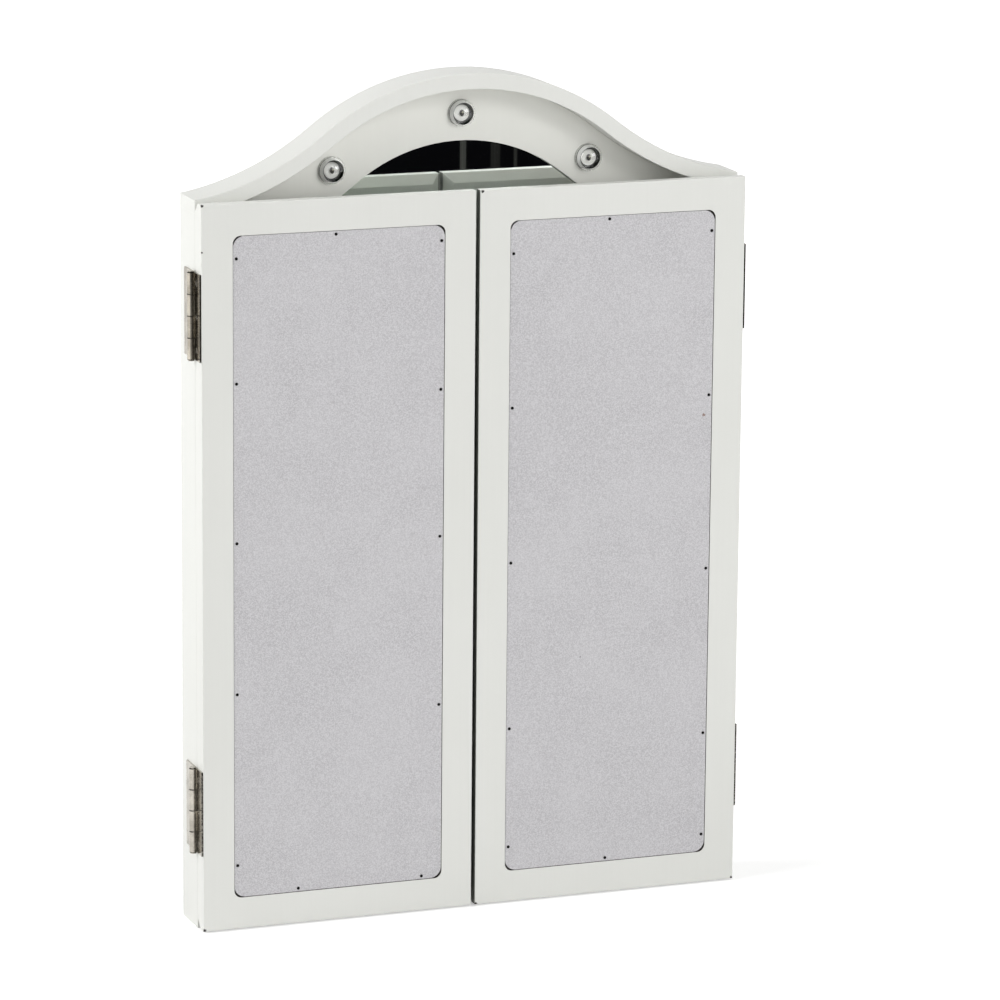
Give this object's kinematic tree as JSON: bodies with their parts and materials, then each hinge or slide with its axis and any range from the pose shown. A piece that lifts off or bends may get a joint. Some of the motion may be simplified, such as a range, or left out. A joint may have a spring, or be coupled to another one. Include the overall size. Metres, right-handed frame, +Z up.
{
  "type": "triptych vanity mirror",
  "caption": "Tabletop vanity mirror with an arched case, lamps around the centre mirror and hinged wing mirrors that fold shut over it.",
  "frame": {"origin": "the middle of the closed mirror's footprint, on the surface that it stands on", "axes": "+Z up, -Y out of the front towards the user, +X to the right seen from the front"},
  "size_m": [0.4404, 0.052, 0.6365],
  "materials": {
    "white_paint": "off-white satin paint over wood",
    "fascia_paint": "off-white satin paint over board",
    "backing_board": "grey-lilac paper-faced fibreboard",
    "back_board": "plain hardboard",
    "bare_wood": "bare softwood",
    "mirror_glass": "silvered glass",
    "clear_lens": "clear moulded dome",
    "lamp_white": "moulded white plastic",
    "led_board": "white circuit disc with one chip",
    "harness": "white sheathed cable",
    "foam": "soft foam pad",
    "hinge_steel": "bright plated steel",
    "steel_nails": "plain steel",
    "black_plastic": "moulded black plastic",
    "black_gloss": "moulded black plastic",
    "button_plastic": "moulded grey plastic",
    "circuit_board": "green circuit board"
  },
  "bodies": {
    "case": {"back_panel": "back_board", "back_panel_nails": "steel_nails", "case_bottom": "white_paint", "case_dowels": "bare_wood", "case_hinge_screws": "hinge_steel", "case_side_left": "white_paint", "case_side_right": "white_paint", "centre_mirror": "mirror_glass", "crest_rail": "white_paint", "fascia_cleat_bottom": "bare_wood", "fascia_cleat_left": "bare_wood", "fascia_cleat_right": "bare_wood", "lamp_bases": "lamp_white", "lamp_lens_01": "clear_lens", "lamp_lens_02": "clear_lens", "lamp_lens_03": "clear_lens", "lamp_lens_04": "clear_lens", "lamp_lens_05": "clear_lens", "lamp_lens_06": "clear_lens", "lamp_lens_07": "clear_lens", "lamp_lens_08": "clear_lens", "lamp_lens_09": "clear_lens", "lamp_lens_10": "clear_lens", "lamp_lens_11": "clear_lens", "led_discs": "led_board", "left_lower_case_leaf": "hinge_steel", "left_lower_pin": "hinge_steel", "left_upper_case_leaf": "hinge_steel", "left_upper_pin": "hinge_steel", "light_fascia": "fascia_paint", "light_harness": "harness", "mirror_pads": "foam", "power_board": "circuit_board", "power_box": "black_plastic", "power_socket": "black_gloss", "power_switch": "black_gloss", "right_lower_case_leaf": "hinge_steel", "right_lower_pin": "hinge_steel", "right_upper_case_leaf": "hinge_steel", "right_upper_pin": "hinge_steel"},
    "left_wing": {"left_wing_backing": "backing_board", "left_wing_brads": "steel_nails", "left_wing_frame": "white_paint", "left_wing_glass": "mirror_glass", "left_wing_hinge_screws": "hinge_steel", "left_wing_lower_leaf": "hinge_steel", "left_wing_upper_leaf": "hinge_steel"},
    "power_button": {"power_button": "button_plastic"},
    "right_wing": {"right_wing_backing": "backing_board", "right_wing_brads": "steel_nails", "right_wing_frame": "white_paint", "right_wing_glass": "mirror_glass", "right_wing_hinge_screws": "hinge_steel", "right_wing_lower_leaf": "hinge_steel", "right_wing_upper_leaf": "hinge_steel"}
  },
  "joints": [
    {"name": "left_wing_hinge", "type": "hinge", "parent": "case", "child": "left_wing", "pos_m": [-0.2172, -0.01075, 0], "axis": [0, 0, -1], "range_deg": [0, 180]},
    {"name": "right_wing_hinge", "type": "hinge", "parent": "case", "child": "right_wing", "pos_m": [0.2172, -0.01075, 0], "axis": [0, 0, 1], "range_deg": [0, 180]},
    {"name": "power_button_press", "type": "slide", "parent": "case", "child": "power_button", "axis": [0, -1, 0], "range_m": [0, 0.0015], "stiffness_N_per_m": 400}
  ]
}
